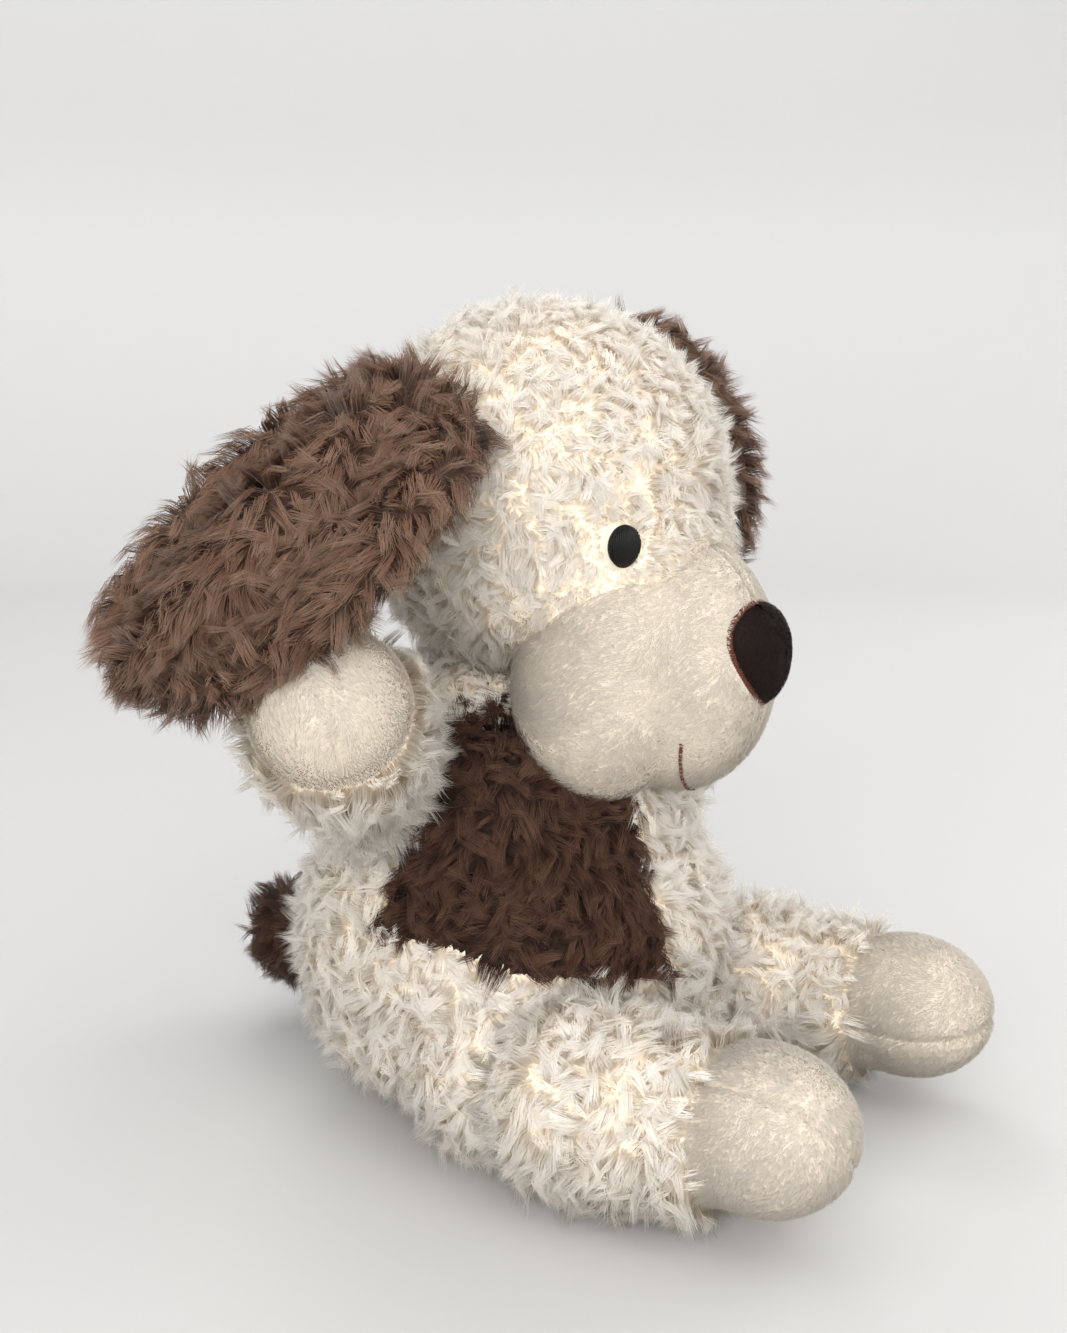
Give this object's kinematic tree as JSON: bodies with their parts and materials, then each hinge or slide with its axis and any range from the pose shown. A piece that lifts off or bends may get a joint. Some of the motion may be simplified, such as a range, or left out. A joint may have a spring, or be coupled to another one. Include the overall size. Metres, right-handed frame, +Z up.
{
  "type": "plush dog",
  "caption": "Seated plush dog with a shaggy cream body, floppy brown ears, a dark side patch, a smooth muzzle and feet, one paw raised under an ear.",
  "frame": {"origin": "middle of the flat seat, on the surface that the dog sits on", "axes": "+Z up, the dog faces -Y, its left side is +X"},
  "size_m": [0.2462, 0.2329, 0.241],
  "materials": {
    "cream_pile": "shaggy cream pile",
    "dark_pile": "shaggy dark brown pile",
    "brown_pile": "shaggy mid brown pile",
    "cream_velboa": "smooth short pile",
    "nose_velboa": "short velvety pile",
    "brown_thread": "satin stitch",
    "black_thread": "satin stitch",
    "polyester_filling": "loose fibre",
    "pouch_cloth": "plain woven lining",
    "pellets": "small plastic beads"
  },
  "bodies": {
    "body": {"body_right_panel": "cream_pile", "body_left_panel": "cream_pile", "side_patch": "dark_pile", "seat_panel": "cream_pile", "body_stuffing": "polyester_filling", "pellet_pouch": "pouch_cloth", "pellets": "pellets"},
    "neck": {"neck_stuffing": "polyester_filling"},
    "head": {"head_right_panel": "cream_pile", "head_left_panel": "cream_pile", "crown_gusset": "cream_pile", "head_stuffing": "polyester_filling", "muzzle_right_panel": "cream_velboa", "muzzle_left_panel": "cream_velboa", "muzzle_stuffing": "polyester_filling", "nose": "nose_velboa", "nose_edging": "brown_thread", "mouth_stitch": "brown_thread", "eye_right": "black_thread", "eye_left": "black_thread"},
    "ear_right": {"ear_right_outer": "brown_pile", "ear_right_lining": "brown_pile"},
    "ear_left": {"ear_left_outer": "brown_pile", "ear_left_lining": "brown_pile"},
    "arm_right": {"arm_right_sleeve": "cream_pile", "paw_right_back": "cream_velboa", "paw_right_palm": "cream_velboa", "arm_right_stuffing": "polyester_filling"},
    "arm_left": {"arm_left_sleeve": "cream_pile", "paw_left_back": "cream_velboa", "paw_left_palm": "cream_velboa", "arm_left_stuffing": "polyester_filling"},
    "leg_right": {"leg_right_sleeve": "cream_pile", "foot_right_upper": "cream_velboa", "foot_right_sole": "cream_velboa", "leg_right_stuffing": "polyester_filling"},
    "leg_left": {"leg_left_sleeve": "cream_pile", "foot_left_upper": "cream_velboa", "foot_left_sole": "cream_velboa", "leg_left_stuffing": "polyester_filling"},
    "tail": {"tail_cover": "dark_pile", "tail_stuffing": "polyester_filling"}
  },
  "joints": [
    {"name": "neck_turn", "type": "hinge", "parent": "body", "child": "neck", "pos_m": [0, 0.004, 0.118], "axis": [0, 0, 1], "range_deg": [-20, 0]},
    {"name": "neck_nod", "type": "hinge", "parent": "neck", "child": "head", "pos_m": [0, 0.004, 0.118], "axis": [-1, 0, 0], "range_deg": [0, 18]},
    {"name": "ear_right_lift", "type": "hinge", "parent": "head", "child": "ear_right", "pos_m": [-0.06008, 0.002, 0.2133], "axis": [0.1272, 0.8537, 0.505], "range_deg": [0, 45]},
    {"name": "ear_left_lift", "type": "hinge", "parent": "head", "child": "ear_left", "pos_m": [0.05527, -0.008, 0.21789], "axis": [0, -1, 0], "range_deg": [0, 70]},
    {"name": "arm_right_swing", "type": "hinge", "parent": "body", "child": "arm_right", "pos_m": [-0.057, 0.012, 0.103], "axis": [-0.454, 0.891, 0], "range_deg": [-40, 0]},
    {"name": "arm_left_swing", "type": "hinge", "parent": "body", "child": "arm_left", "pos_m": [0.057, 0.012, 0.103], "axis": [-0.1736, -0.9848, 0], "range_deg": [0, 35]},
    {"name": "leg_right_swing", "type": "hinge", "parent": "body", "child": "leg_right", "pos_m": [-0.047, -0.054, 0.029], "axis": [-1, 0, 0], "range_deg": [-45, 12]},
    {"name": "leg_left_swing", "type": "hinge", "parent": "body", "child": "leg_left", "pos_m": [0.047, -0.054, 0.029], "axis": [-1, 0, 0], "range_deg": [-45, 12]},
    {"name": "tail_wag", "type": "hinge", "parent": "body", "child": "tail", "pos_m": [0, 0.073, 0.03], "axis": [0, 0, 1], "range_deg": [-30, 30]}
  ]
}
